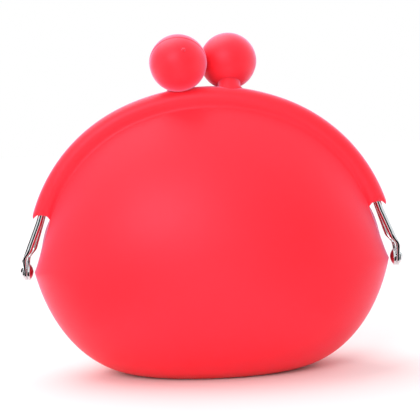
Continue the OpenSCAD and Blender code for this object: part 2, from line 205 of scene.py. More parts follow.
class Nodes:
    """The node tree of a material or world, with short calls to add and join nodes."""

    def __init__(self, owner: bpy.types.Material | bpy.types.World) -> None:
        """Starts an empty tree.

        Args:
            owner: Material or world that the tree belongs to.
        """
        self.owner = owner
        owner.use_nodes = True
        self.tree = owner.node_tree
        self.tree.nodes.clear()

    def add(self, kind: str, **settings: object) -> bpy.types.Node:
        """Adds a node.

        Args:
            kind: Type name without its ShaderNode prefix.
            **settings: Attributes of the node.

        Returns:
            The node.
        """
        node = self.tree.nodes.new(f"ShaderNode{kind}")
        for key, value in settings.items():
            setattr(node, key, value)
        return node

    def put(self, node: bpy.types.Node, values: dict[str, float | tuple[float, ...]]) -> None:
        """Sets fixed values on a node's own sockets.

        Args:
            node: The node.
            values: Value of each socket by its name. A colour has three numbers.
        """
        for name, value in values.items():
            socket = node.inputs[name]
            socket.default_value = (*value, 1.0) if socket.type == "RGBA" else value

    def join(self, source: bpy.types.NodeSocket, target: bpy.types.NodeSocket) -> None:
        """Links an output socket to an input socket."""
        self.tree.links.new(source, target)

    def noise(self, scale: float, detail: float = 2.0) -> bpy.types.NodeSocket:
        """Adds noise in object space.

        Args:
            scale: Waves in a metre.
            detail: Number of octaves.

        Returns:
            The noise's factor output.
        """
        place = self.add("TexCoord")
        node = self.add("TexNoise")
        self.put(node, {"Scale": scale, "Detail": detail})
        self.join(place.outputs["Object"], node.inputs["Vector"])
        return node.outputs["Fac"]

    def rise(self, low_mm: float, high_mm: float) -> bpy.types.NodeSocket:
        """Ramp over the object's height.

        Args:
            low_mm: Height at which it is 0.
            high_mm: Height at which it is 1.

        Returns:
            The ramp's value.
        """
        place = self.add("TexCoord")
        height = self.add("SeparateXYZ")
        self.join(place.outputs["Object"], height.inputs["Vector"])
        node = self.add("MapRange")
        self.put(node, {"From Min": low_mm * MM, "From Max": high_mm * MM})
        self.join(height.outputs["Z"], node.inputs["Value"])
        return node.outputs["Result"]

    def calc(
        self, operation: str, source: bpy.types.NodeSocket, other: bpy.types.NodeSocket | float
    ) -> bpy.types.NodeSocket:
        """Adds a Math node.

        Args:
            operation: Name of the operation.
            source: First operand.
            other: Second operand, a socket or a number.

        Returns:
            The result.
        """
        node = self.add("Math", operation=operation)
        self.join(source, node.inputs[0])
        if isinstance(other, float):
            node.inputs[1].default_value = other
        else:
            self.join(other, node.inputs[1])
        return node.outputs["Value"]

    def spread(self, source: bpy.types.NodeSocket, low: float, high: float) -> bpy.types.NodeSocket:
        """Maps a factor from 0..1 onto low..high.

        Args:
            source: Socket to map.
            low: Value at 0.
            high: Value at 1.

        Returns:
            The mapped value.
        """
        node = self.add("MapRange")
        self.put(node, {"To Min": low, "To Max": high})
        self.join(source, node.inputs["Value"])
        return node.outputs["Result"]

    def blend_colours(
        self, share: bpy.types.NodeSocket, low: tuple[float, ...],
        high: tuple[float, ...] | bpy.types.NodeSocket,
    ) -> bpy.types.NodeSocket:
        """Mixes two colours by a share.

        Args:
            share: Factor socket.
            low: Linear RGB at 0.
            high: Linear RGB at 1, or a colour socket.

        Returns:
            The mixed colour.
        """
        node = self.add("Mix", data_type="RGBA")
        factor, first, second = node.inputs[0], node.inputs[6], node.inputs[7]
        self.join(share, factor)
        first.default_value = (*low, 1.0)
        if isinstance(high, tuple):
            second.default_value = (*high, 1.0)
        else:
            self.join(high, second)
        return node.outputs[2]

    def bump(
        self, height: bpy.types.NodeSocket, depth_mm: float, strength: float
    ) -> bpy.types.NodeSocket:
        """Adds a bump of a height field.

        Args:
            height: Height factor, 0 to 1.
            depth_mm: Height that 1 stands for.
            strength: Share of the bump that shows.

        Returns:
            The normal output.
        """
        node = self.add("Bump")
        self.put(node, {"Strength": strength, "Distance": depth_mm * MM})
        self.join(height, node.inputs["Height"])
        return node.outputs["Normal"]

    def finish(self, shader: bpy.types.NodeSocket) -> bpy.types.Material | bpy.types.World:
        """Joins the shader to the output.

        Args:
            shader: The last shader's socket.

        Returns:
            The material or world.
        """
        kind = "World" if isinstance(self.owner, bpy.types.World) else "Material"
        out = self.add(f"Output{kind}")
        self.join(shader, out.inputs["Surface"])
        return self.owner


@dataclass(frozen=True)
class SiliconeFinish:
    """Matte moulded silicone: one strong coral red, a fine eggshell grain, a soft pale pink painted
    sheen at grazing angles that grows towards the top, and painted shade along the foot.
    """

    deep: tuple[float, float, float] = (0.88, 0.012, 0.020)
    pale: tuple[float, float, float] = (0.92, 0.016, 0.028)
    mottle_waves: float = 55.0
    # Darker orange red painted along the foot, full close to the floor and gone a little higher:
    # painted contact shade where the purse stands.
    painted_foot_shade: tuple[float, float, float] = (0.76, 0.010, 0.005)
    foot_shade_low: float = 1.0
    foot_shade_high: float = 2.4
    rough_low: float = 0.42
    rough_high: float = 0.50
    rough_waves: float = 495.0
    grain_mm: float = 0.09
    grain_waves: float = 5200.0
    grain_share: float = 0.25
    glow_share: float = 0.3
    glow_radius: tuple[float, float, float] = (1.0, 0.12, 0.06)
    glow_mm: float = 2.5
    ior: float = 1.5
    gloss_tint: tuple[float, float, float] = (1.0, 0.68, 1.0)
    sheen_rough: float = 0.3
    sheen_tint: tuple[float, float, float] = (1.0, 0.66, 1.0)
    # Pale pink mixed in at grazing angles: a painted sheen standing in for the rim light on tops and
    # edges.
    painted_sheen_colour: tuple[float, float, float] = (1.0, 0.48, 0.78)
    painted_sheen_blend: float = 0.4
    painted_sheen_power: float = 2.5
    painted_sheen: float = 0.7
    painted_sheen_most: float = 0.42
    # Height ramp of the sheen and the painted sheen, 0 at the first height and 1 at the second (mm):
    # painted shade towards the foot, painted light towards the top.
    painted_top_light_low: float = 3.0
    painted_top_light_high: float = 46.0

    def material(self) -> bpy.types.Material:
        """Builds the node material."""
        n = Nodes(bpy.data.materials.new("silicone_coral"))
        skin = n.add("BsdfPrincipled")
        n.put(
            skin,
            {
                "Subsurface Weight": self.glow_share,
                "Subsurface Radius": self.glow_radius,
                "Subsurface Scale": self.glow_mm * MM,
                "IOR": self.ior,
                "Specular Tint": self.gloss_tint,
                "Sheen Roughness": self.sheen_rough,
                "Sheen Tint": self.sheen_tint,
            },
        )
        body = n.blend_colours(n.noise(self.mottle_waves, 3.0), self.deep, self.pale)
        # Painted shade along the foot: the base colour turns darker orange red near the floor.
        foot_shade = n.rise(self.foot_shade_low, self.foot_shade_high)
        n.join(n.blend_colours(foot_shade, self.painted_foot_shade, body), skin.inputs["Base Color"])
        rough = n.spread(n.noise(self.rough_waves), self.rough_low, self.rough_high)
        n.join(rough, skin.inputs["Roughness"])
        grain = n.bump(n.noise(self.grain_waves), self.grain_mm, self.grain_share)
        n.join(grain, skin.inputs["Normal"])
        # Sheen weight grows with height: painted shade towards the foot and painted light towards the
        # top.
        painted_top_light = n.rise(self.painted_top_light_low, self.painted_top_light_high)
        n.join(painted_top_light, skin.inputs["Sheen Weight"])

        # Painted sheen: pale pink diffuse mixed in towards grazing angles, capped, and scaled by the
        # height ramp.
        painted_sheen = n.add("BsdfDiffuse")
        n.put(painted_sheen, {"Color": self.painted_sheen_colour})
        graze = n.add("LayerWeight")
        n.put(graze, {"Blend": self.painted_sheen_blend})
        steep = n.calc("POWER", graze.outputs["Facing"], self.painted_sheen_power)
        most = n.calc("MINIMUM", n.spread(steep, 0.0, self.painted_sheen), self.painted_sheen_most)
        both = n.add("MixShader")
        n.join(n.calc("MULTIPLY", most, painted_top_light), both.inputs[0])
        n.join(skin.outputs["BSDF"], both.inputs[1])
        n.join(painted_sheen.outputs["BSDF"], both.inputs[2])
        return n.finish(both.outputs["Shader"])


@dataclass(frozen=True)
class ChromeFinish:
    """Bright plated steel with faint draw marks and a little haze."""

    colour: tuple[float, float, float] = (0.73, 0.77, 0.78)
    haze: tuple[float, float, float] = (0.62, 0.67, 0.69)
    haze_waves: float = 420.0
    rough_low: float = 0.05
    rough_high: float = 0.14
    rough_waves: float = 900.0
    mark_mm: float = 0.05
    mark_waves: float = 1600.0
    mark_share: float = 0.12

    def material(self) -> bpy.types.Material:
        """Builds the node material."""
        n = Nodes(bpy.data.materials.new("chrome_plate"))
        metal = n.add("BsdfPrincipled")
        n.put(metal, {"Metallic": 1.0})
        cloud = n.noise(self.haze_waves, 4.0)
        n.join(n.blend_colours(cloud, self.haze, self.colour), metal.inputs["Base Color"])
        rough = n.spread(n.noise(self.rough_waves, 4.0), self.rough_low, self.rough_high)
        n.join(rough, metal.inputs["Roughness"])
        marks = n.bump(n.noise(self.mark_waves, 3.0), self.mark_mm, self.mark_share)
        n.join(marks, metal.inputs["Normal"])
        return n.finish(metal.outputs["BSDF"])


@dataclass(frozen=True)
class BeadFinish:
    """Plain turned steel of the beads inside the silicone."""

    dark: tuple[float, float, float] = (0.336, 0.344, 0.36)
    colour: tuple[float, float, float] = (0.42, 0.43, 0.45)
    grain_waves: float = 2400.0
    rough_low: float = 0.25
    rough_high: float = 0.42

    def material(self) -> bpy.types.Material:
        """Builds the node material."""
        n = Nodes(bpy.data.materials.new("bead_steel"))
        metal = n.add("BsdfPrincipled")
        n.put(metal, {"Metallic": 1.0})
        grain = n.noise(self.grain_waves, 4.0)
        n.join(n.blend_colours(grain, self.dark, self.colour), metal.inputs["Base Color"])
        n.join(n.spread(grain, self.rough_low, self.rough_high), metal.inputs["Roughness"])
        return n.finish(metal.outputs["BSDF"])


@dataclass(frozen=True)
class MattFinish:
    """Flat matt paper or paint of the studio, hardly uneven in tone."""

    name: str
    low: tuple[float, float, float]
    high: tuple[float, float, float]
    waves: float
    detail: float

    def material(self) -> bpy.types.Material:
        """Builds the node material."""
        n = Nodes(bpy.data.materials.new(self.name))
        matt = n.add("BsdfDiffuse")
        tone = n.blend_colours(n.noise(self.waves, self.detail), self.low, self.high)
        n.join(tone, matt.inputs["Color"])
        return n.finish(matt.outputs["BSDF"])


@dataclass(frozen=True)
class ArchLine:
    """Centreline of a sleeve: a crown arc that runs on into two shoulder arcs."""

    hinge_h: float = 28.0
    arch_h: float = 46.28
    crown_r: float = 55.0
    shoulder_r: float = 43.5
    shoulder_x: float = 4.2
    tube_r: float = 2.9
    lip_gap: float = 0.3
    lip_touch: float = 0.04
    end_h: float = 13.0
    channel_out: float = 0.7
    channel_turn_deg: float = 22.0

    @property
    def frame_y(self) -> float:
        """Distance of the centreline from the middle plane."""
        return self.tube_r + self.lip_gap / 2

    @property
    def join_deg(self) -> float:
        """Angle at which the crown arc gives way to a shoulder arc."""
        return math.degrees(math.asin(self.shoulder_x / (self.crown_r - self.shoulder_r)))

    @property
    def crown_z(self) -> float:
        """Height of the centre of the crown arc."""
        return self.hinge_h + self.arch_h - self.crown_r

    @property
    def shoulder_z(self) -> float:
        """Height of the centres of the shoulder arcs."""
        drop = (self.crown_r - self.shoulder_r) * math.cos(math.radians(self.join_deg))
        return self.crown_z + drop

    @property
    def end_deg(self) -> float:
        """Angle at which a sleeve ends."""
        up = self.hinge_h + self.end_h - self.shoulder_z
        return math.degrees(math.acos(up / (self.shoulder_r - self.tube_r)))

    def point(self, deg: float, out: float, y: float) -> np.ndarray:
        """Point beside the centreline.

        Args:
            deg: Angle along the arch from straight up.
            out: Offset outwards from the centreline.
            y: Place along Y.

        Returns:
            The point.
        """
        a = math.radians(deg)
        if abs(deg) < self.join_deg:
            r = self.crown_r - self.tube_r + out
            return np.array([r * math.sin(a), y, self.crown_z + r * math.cos(a)])
        r = self.shoulder_r - self.tube_r + out
        x = math.copysign(self.shoulder_x, deg) + r * math.sin(a)
        return np.array([x, y, self.shoulder_z + r * math.cos(a)])

    def round(self, deg: float, around_deg: float, r: float) -> np.ndarray:
        """Point round the centreline.

        Args:
            deg: Angle along the arch from straight up.
            around_deg: Angle round the sleeve, from straight in towards the front.
            r: Distance from the centreline.

        Returns:
            The point.
        """
        c = math.radians(around_deg)
        across = -r * math.sin(c)
        if across > 0.0:
            across *= (self.frame_y - self.lip_touch) / self.tube_r
        return self.point(deg, -r * math.cos(c), across - self.frame_y)

    def channel_offset(self, deg: float) -> float:
        """How far out of the sleeve's centreline the steel channel runs, which grows to its ends."""
        share = 1.0 - (self.end_deg - abs(deg)) / self.channel_turn_deg
        return self.channel_out * float(ease(share))


@dataclass
class Skin:
    """One half of the silicone moulding: half the pouch, a wall and a sleeve, as one skin."""

    line: ArchLine
    side: Side
    half_w: float = 46.25
    half_d: float = 23.0
    wall_t: float = 1.8
    floor_t: float = 2.4
    foot_w: float = 37.0
    foot_d: float = 20.0
    foot_round: float = 0.71
    side_tuck: float = 0.072
    belly_level: float = 0.55
    end_u: float = 0.9
    attach_deg: float = 47.0
    leave_deg: float = 42.0
    root_deg: float = 40.0
    web_deg: float = -54.0
    edge_inset: float = 1.7
    edge_gap: float = 0.5
    edge_lap: float = 0.15
    edge_low: float = 0.9
    edge_high: float = 1.5
    edge_power: int = 5
    straight_power: int = 4
    belly_rise: float = 0.42
    top_follow: float = 0.3
    crease_len: float = 1.25
    crease_end: float = 0.45
    crease_from: float = 0.7
    inner_len: float = 1.2
    inner_end: float = 0.3
    face_crease: float = 0.25
    web_from: float = 0.8
    landing_share: float = 0.6
    round_share: float = 0.55
    tunnel_out: float = 1.0
    tunnel_side: float = 1.8
    tunnel_square: int = 6
    end_slope: float = 1.3
    end_run: float = 7.0
    notch_depth: float = 1.8
    notch_half: float = 2.35
    notch_out: float = 0.2
    notch_square: int = 4
    corner_inset: float = 0.55
    corner_len: float = 2.0
    columns: int = 64
    end_columns: int = 8
    crowding: float = 0.3
    disc_points: int = 5
    bowl_points: int = 25
    wall_points: int = 25
    ring_points: int = 29
    fillet_points: int = 9
    closing_points: int = 9
    still_deg: float = 25.0
    swing_deg: float = 150.0
    ball_centre: tuple[float, float, float] = (-6.42, -3.6, 80.48)
    ball_room: float = 6.76

    def shares(self) -> list[tuple[float, float]]:
        """Columns of the skin as their place across (-1 to 1) and share of the sleeve's end."""
        v = np.linspace(-1.0, 1.0, 2 * self.columns + 1)
        crowded = v * (1.0 + self.crowding - self.crowding * v * v)
        main = [(self.end_u * s, 0.0) for s in crowded]
        steps = [k / self.end_columns for k in range(1, self.end_columns + 1)]
        right = [(mix(self.end_u, 1.0, q), q) for q in steps]
        left = [(-u, q) for u, q in reversed(right)]
        return left + main + right

    def bowl(self, u: float, inset: float, floor: float) -> np.ndarray:
        """One column of the pouch, from the middle of its foot up to hinge level.

        Args:
            u: Place across.
            inset: How far the surface lies inside the outer one.
            floor: Height of the foot on this surface.

        Returns:
            Points from the foot's middle to the rim.
        """
        phi = math.radians(90.0 * u)
        a, b = self.half_w - inset, self.half_d - inset
        foot = 1.0 / math.hypot(
            a * math.sin(phi) / (self.foot_w / 2), b * math.cos(phi) / (self.foot_d / 2)
        )
        tuck = 1.0 - self.side_tuck * math.sin(phi) ** 2
        belly, heel = (tuck, self.belly_level), (self.foot_round, 1.0)
        curve = [np.array(p) for p in ((1.0, 0.0), belly, heel, (foot, 1.0))]
        share = bezier(curve, np.linspace(1.0, 0.0, self.bowl_points))
        disc = [(foot * k / self.disc_points, 1.0) for k in range(self.disc_points)]
        share = np.concatenate([np.array(disc), share])
        deep = self.line.hinge_h - floor
        return np.stack(
            [
                a * share[:, 0] * math.sin(phi),
                -b * share[:, 0] * math.cos(phi),
                self.line.hinge_h - deep * share[:, 1],
            ],
            axis=1,
        )

    def wall(self, u: float, deg: float, foot: np.ndarray, top: np.ndarray) -> list[np.ndarray]:
        """Control points of one column of a wall.

        Args:
            u: Place across.
            deg: Angle along the arch of the column's top.
            foot: Where the column starts, at hinge level.
            top: Where it meets the sleeve.

        Returns:
            Four control points.
        """
        rise = float(np.linalg.norm(top - foot))
        straight = abs(u) ** self.straight_power
        lean = math.radians(self.leave_deg)
        a = math.radians(deg)
        down = np.array(
            [-math.sin(a) * math.cos(lean), -math.sin(lean), -math.cos(a) * math.cos(lean)]
        )
        lift = mix(np.array([0.0, 0.0, self.belly_rise * rise]), (top - foot) / 3, straight)
        drop = mix(self.top_follow * rise * down, (foot - top) / 3, straight)
        edge = np.array([math.copysign(abs(u) ** self.edge_power, u), 0.0, 0.0])
        return [foot, foot + lift - self.edge_low * edge, top + drop + self.edge_high * edge, top]

    def tunnel_r(self, around_deg: float) -> float:
        """Distance from the tunnel's middle to its wall.

        Args:
            around_deg: Angle round the tunnel, from straight in towards the front.

        Returns:
            The distance.
        """
        c = math.radians(around_deg)
        high = abs(math.cos(c)) / self.tunnel_out
        wide = abs(math.sin(c)) / self.tunnel_side
        return (high**self.tunnel_square + wide**self.tunnel_square) ** (-1 / self.tunnel_square)

    def left_to_end(self, deg: float) -> float:
        """Length of sleeve between a place and the nearer end, in millimetres."""
        return math.radians(self.line.end_deg - abs(deg)) * self.line.shoulder_r

    def corner(self, deg: float) -> float:
        """How far the sleeve's surface is drawn in near its end."""
        return self.corner_inset * max(1.0 - self.left_to_end(deg) / self.corner_len, 0.0) ** 2

    def trimmed(self, deg: float, out: float) -> float:
        """Angle along the arch, held back so that the sleeve's end is level, with an arched notch.

        Args:
            deg: Angle along the arch from straight up.
            out: Offset outwards from the centreline.

        Returns:
            The angle to use there.
        """
        inner = float(np.clip(0.5 - out / (2 * self.line.tube_r), 0.0, 1.0))
        aside = (out - self.notch_out) / self.notch_half
        notch = max(1.0 - aside**self.notch_square, 0.0)
        share = float(ease(1.0 - self.left_to_end(deg) / self.end_run))
        held = (self.end_slope * inner + self.notch_depth * notch) * share
        back = math.degrees(held / self.line.shoulder_r)
        return deg - math.copysign(back, deg)

    def on_sleeve(self, deg: float, around: float, r: float) -> np.ndarray:
        """Point round the centreline, with the end of the sleeve cut level."""
        return self.line.round(self.trimmed(deg, -r * math.cos(math.radians(around))), around, r)

    def on_tunnel(self, deg: float, around: float) -> np.ndarray:
        """Point on the wall of the tunnel that the steel runs in.

        Args:
            deg: Angle along the arch from straight up.
            around: Angle round the tunnel, in degrees.

        Returns:
            The point.
        """
        c = math.radians(around)
        r = self.tunnel_r(around)
        out = self.line.channel_offset(deg) - r * math.cos(c)
        return self.line.point(self.trimmed(deg, out), out, -self.line.frame_y - r * math.sin(c))

    def ring_degs(self, soft: float, inner_deg: float, inner_soft: float) -> np.ndarray:
        """Angles round a sleeve from the front crease to the inner one.

        Args:
            soft: Size of the front crease's round corner.
            inner_deg: Angle at which the inner face meets the sleeve.
            inner_soft: Size of the inner round corner.

        Returns:
            The angles, in degrees.
        """
        start, stop = (
            math.degrees(self.landing_share * size / self.line.tube_r)
            for size in (soft, inner_soft)
        )
        return np.linspace(self.attach_deg + start, 360.0 + inner_deg - stop, self.ring_points)

    def flank(self, points: list[np.ndarray], soft: float) -> np.ndarray:
        """Points up a wall from its foot, which is left out, to where its round corner starts.

        Args:
            points: The wall's four control points.
            soft: Size of the round corner.

        Returns:
            One row for each point.
        """
        last = float(np.linalg.norm(points[3] - points[2]))
        cut = 1.0 - min(0.5, soft / last / 3.0)
        return bezier(points, np.linspace(0.0, cut, self.wall_points + 1))[1:]

    def column(self, u: float, q: float) -> np.ndarray:
        """One closed column of the skin, from the outside of the foot to its inside.

        Args:
            u: Place across, -1 to 1.
            q: Share of the way over the sleeve's end face, 0 along the sleeve.

        Returns:
            Points along the column.
        """
        line = self.line
        s = min(abs(u) / self.end_u, 1.0)
        deg = math.copysign(line.end_deg * s, u)
        web = ease((s - self.web_from) / (1.0 - self.web_from))
        late = ease((s - self.crease_from) / (1.0 - self.crease_from))
        soft = mix(self.crease_len, self.crease_end, late) if q == 0.0 else self.face_crease
        inner_soft = mix(self.inner_len, self.inner_end, web)
        inner_deg = mix(self.attach_deg - self.root_deg, self.web_deg, web)

        def edge_point(inset: float, lap: float) -> np.ndarray:
            """Point of the wall's edge, an inset inside the centreline."""
            y = -line.lip_gap / 2 - self.edge_gap - lap
            return line.point(self.trimmed(deg, -inset), -inset, y)

        outer = self.bowl(u, 0.0, 0.0)
        inner = self.bowl(u, self.wall_t, self.floor_t)
        crease = self.on_sleeve(deg, self.attach_deg, line.tube_r)
        top = mix(crease, edge_point(self.edge_inset, 0.0), q)
        inset = self.edge_inset + self.wall_t
        on_tube = self.on_sleeve(deg, inner_deg, line.tube_r)
        under = mix(on_tube, edge_point(inset, self.edge_lap), web)
        inner_top = mix(under, edge_point(inset, 0.0), q)
        wall = self.flank(self.wall(u, deg, outer[-1], top), soft)
        back_wall = self.flank(self.wall(u, deg, inner[-1], inner_top), inner_soft)

        ring = []
        for around in self.ring_degs(soft, inner_deg, inner_soft):
            outside = ease(0.5 - 0.7 * math.cos(math.radians(around)))
            p = self.on_sleeve(deg, around, line.tube_r - self.corner(deg) * outside)
            if q > 0.0:
                p = mix(p, self.on_tunnel(deg, around), q)
            ring.append(p)

        front_fillet = self.fillet(wall, ring[0], ring[0] - ring[1], soft)[1:-1]
        back_fillet = self.fillet(back_wall, ring[-1], ring[-1] - ring[-2], inner_soft)[1:-1]
        front = [outer, wall, front_fillet, np.array(ring)]
        return np.concatenate([*front, back_fillet[::-1], back_wall[::-1], inner[::-1]])

    def fillet(
        self, wall: np.ndarray, landing: np.ndarray, towards: np.ndarray, size: float
    ) -> np.ndarray:
        """Soft corner between a wall and its sleeve.

        Args:
            wall: Points of the wall's column, up to where the corner starts.
            landing: First point on the sleeve.
            towards: Direction from the sleeve back into the corner.
            size: How far the corner reaches along each side.

        Returns:
            Points of the corner, with both ends.
        """
        run = wall[-1] - wall[-2]
        run = run / np.linalg.norm(run)
        back = towards / max(float(np.linalg.norm(towards)), 1e-9)
        reach = min(self.round_share * size, 0.5 * float(np.linalg.norm(landing - wall[-1])))
        points = [wall[-1], wall[-1] + run * reach, landing + back * reach, landing]
        return bezier(points, np.linspace(0.0, 1.0, self.fillet_points))

    def dished(self, rows: np.ndarray) -> np.ndarray:
        """Presses the other half's ball into the sleeve, as far as it needs room.

        Args:
            rows: Points of the skin.

        Returns:
            The points, pushed out of the ball's room.
        """
        centre = np.array(self.ball_centre)
        away = rows - centre
        far = np.linalg.norm(away, axis=-1, keepdims=True)
        pushed = centre + away / np.maximum(far, 1e-6) * self.ball_room
        return np.where(far < self.ball_room, pushed, rows)

    def draft(self) -> MeshDraft:
        """The whole half skin as points and faces."""
        end_deg = self.line.end_deg
        draft = MeshDraft()
        rows = self.dished(np.array([self.column(u, q) for u, q in self.shares()]))
        ids = draft.grid(rows)
        ring = self.ring_degs(self.face_crease, self.web_deg, self.inner_end)
        rest = np.linspace(ring[-1], 360.0 + ring[0], self.closing_points + 2)[1:-1]
        around = np.concatenate([ring, rest])
        stations = np.linspace(-end_deg, end_deg, 2 * self.columns + 1)
        tube = np.array([[self.on_tunnel(a, c) for c in around] for a in stations])
        tunnel = draft.grid(tube, closed=True)
        for end in (0, -1):
            self.close_end(draft, ids[end], tunnel[end])
        return draft

    def close_end(self, draft: MeshDraft, column: np.ndarray, tunnel: np.ndarray) -> None:
        """Closes the skin's edge, and the part of the sleeve's end face below the tunnel.

        Args:
            draft: Where the faces go.
            column: Point numbers of the skin's last column.
            tunnel: Point numbers of the tunnel's last ring.
        """
        n = len(column)
        strip = self.disc_points + self.bowl_points + self.wall_points
        for i in range(strip - 1):
            draft.fill([column[i], column[i + 1], column[n - 2 - i], column[n - 1 - i]])
        first = strip + self.fillet_points - 2
        last = first + self.ring_points - 1
        inside, outside = column[last : n - strip + 1], column[strip - 1 : first + 1]
        draft.fill(np.concatenate([inside, outside, tunnel[: self.ring_points - 1 : -1]]))

    def build(self, material: bpy.types.Material) -> bpy.types.Object:
        """Makes the skin, dresses it and hides the model's wall, sleeve and pouch that it stands in
        for.

        Args:
            material: Its silicone.

        Returns:
            The skin.
        """
        draft = self.draft()
        draft.turn(self.side)
        skin = draft.build(f"{self.side.value}_skin", crease_deg=50.0)
        skin.data.materials.append(material)
        name = self.side.value
        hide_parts(f"{name}_wall", f"{name}_sleeve", "pouch")
        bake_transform(skin)
        self.hang(skin)
        return skin

    def hang(self, skin: bpy.types.Object) -> None:
        """Works out how far each point lies out on this half's side of the middle plane, and sets
        nothing from it.

        Args:
            skin: The skin.
        """
        co = np.empty(len(skin.data.vertices) * 3)
        skin.data.vertices.foreach_get("co", co)
        co = co.reshape(-1, 3) / MM
        out = np.maximum(-co[:, 1] * self.side.turn, 0.0)


@dataclass
class ClaspBall:
    """A silicone-covered ball on its neck, with the mould's parting line and gate mark."""

    line: ArchLine
    side: Side
    ball_r: float = 7.38
    ball_x: float = 6.42
    lean: float = 3.6
    up: float = 6.2
    neck_foot: float = 3.7
    neck_top: float = 2.85
    neck_across: float = 2.6
    neck_start: float = 0.4
    neck_clear: float = 0.8
    neck_sunk: float = 0.6
    pressed_r: float = 6.7
    press_room: float = 0.03
    press_steps: int = 34
    parting_step: float = 0.1
    parting_half_deg: float = 1.7
    parting_tilt_deg: float = 28.0
    gate_x: float = 1.6
    gate_up: float = 3.3
    gate_r: float = 0.5
    gate_h: float = 0.26
    gate_sunk: float = 0.3
    turns: int = 96

    @property
    def centre(self) -> np.ndarray:
        """Centre of the front half's ball."""
        return np.array([self.ball_x, self.lean, self.line.hinge_h + self.line.arch_h + self.up])

    @property
    def foot(self) -> np.ndarray:
        """Point on the sleeve's centreline under the neck."""
        deg = math.degrees(math.asin(self.ball_x / (self.line.crown_r - self.line.tube_r)))
        return self.line.point(deg, 0.0, -self.line.frame_y)

    def revolve(
        self,
        draft: MeshDraft,
        base: np.ndarray,
        axis: np.ndarray,
        profile: np.ndarray,
        across: float = math.inf,
    ) -> None:
        """Adds a surface of revolution, narrowed where a limit says so.

        Args:
            draft: Where it goes.
            base: Point on the axis.
            axis: Direction of the axis.
            profile: Rows of radius and height along the axis.
            across: Largest half width in the direction square to X.
        """
        axis = axis / np.linalg.norm(axis)
        side = np.array([1.0, 0.0, 0.0])
        other = np.cross(axis, side)
        turns = np.linspace(0.0, 2 * math.pi, self.turns + 1)[:-1, None]
        rows = [
            base + axis * h + r * np.cos(turns) * side + min(r, across) * np.sin(turns) * other
            for r, h in profile
        ]
        draft.grid(np.array(rows), closed=True)

    def ball_profile(self) -> np.ndarray:
        """Half circle of the ball with the small step of the parting line on its equator."""
        half = np.linspace(3.0, 90.0, 30)
        lats = np.concatenate([-half[::-1], np.linspace(-2.0, 2.0, 17), half])
        step = self.parting_step * ease(0.5 + 0.5 * lats / self.parting_half_deg)
        r = self.ball_r - step
        lat = np.radians(lats)
        return np.stack([r * np.cos(lat), r * np.sin(lat)], axis=1)

    def neck_profile(self) -> np.ndarray:
        """Neck from inside the sleeve to inside the ball, hollow-sided where it leaves the sleeve."""
        reach = float(np.linalg.norm(self.centre - self.foot))
        tube_r = self.line.tube_r
        heights = np.linspace(self.neck_start * tube_r, reach - self.neck_sunk * self.ball_r, 30)
        low = self.neck_clear * tube_r
        share = (heights - low) / (reach - self.ball_r - low)
        r = mix(self.neck_top, self.neck_foot, (1.0 - np.clip(share, 0.0, 1.0)) ** 2)
        return np.stack([r, heights], axis=1)

    def pressed(self, rows: np.ndarray) -> np.ndarray:
        """Presses the ball in where it lies against the other half's sleeve.

        Args:
            rows: Points of the ball.

        Returns:
            The points, drawn in towards its centre as far as the sleeve's surface.
        """
        line = self.line
        away = rows - self.centre
        far = np.linalg.norm(away, axis=1)
        way = away / far[:, None]
        reach = far.copy()
        for r in np.linspace(self.ball_r + 0.01, self.pressed_r, self.press_steps):
            p = self.centre + way * r
            out = np.hypot(p[:, 0], p[:, 2] - line.crown_z) - (line.crown_r - line.tube_r)
            inside = np.hypot(out, p[:, 1] - line.frame_y) < line.tube_r + self.press_room
            reach = np.where(inside, np.minimum(reach, r), reach)
        return self.centre + way * reach[:, None]

    def draft(self) -> MeshDraft:
        """The covered ball as points and faces."""
        draft = MeshDraft()
        tilt = math.radians(self.parting_tilt_deg)
        pole = np.array([0.0, math.cos(tilt), -math.sin(tilt)])
        self.revolve(draft, self.centre, pole, self.ball_profile())
        draft.points[0] = self.pressed(draft.points[0])
        neck = self.neck_profile()
        closed = np.concatenate([[[0.0, neck[0, 1]]], neck, [[0.0, neck[-1, 1]]]])
        self.revolve(draft, self.foot, self.centre - self.foot, closed, self.neck_across)
        deep = math.sqrt(self.ball_r**2 - self.gate_x**2 - self.gate_up**2)
        spot = np.array([-self.gate_x, deep, self.gate_up])
        t = np.linspace(0.0, 0.5 * math.pi, 7)
        nub = np.stack([self.gate_r * np.cos(t), self.gate_h * np.sin(t)], axis=1)
        nub = np.concatenate([[[0.0, -self.gate_sunk], [self.gate_r, -self.gate_sunk]], nub])
        self.revolve(draft, self.centre + spot, spot, nub)
        return draft

    def build(self, material: bpy.types.Material) -> bpy.types.Object:
        """Makes the covered ball, dresses it and rides it on its half of the frame.

        Args:
            material: Its silicone.

        Returns:
            The ball with its neck.
        """
        draft = self.draft()
        draft.turn(self.side)
        ball = draft.build(f"{self.side.value}_covered_ball", crease_deg=60.0)
        ball.data.materials.append(material)
        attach(ball, self.side.body)
        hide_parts(f"{self.side.value}_ball_cover")
        return ball


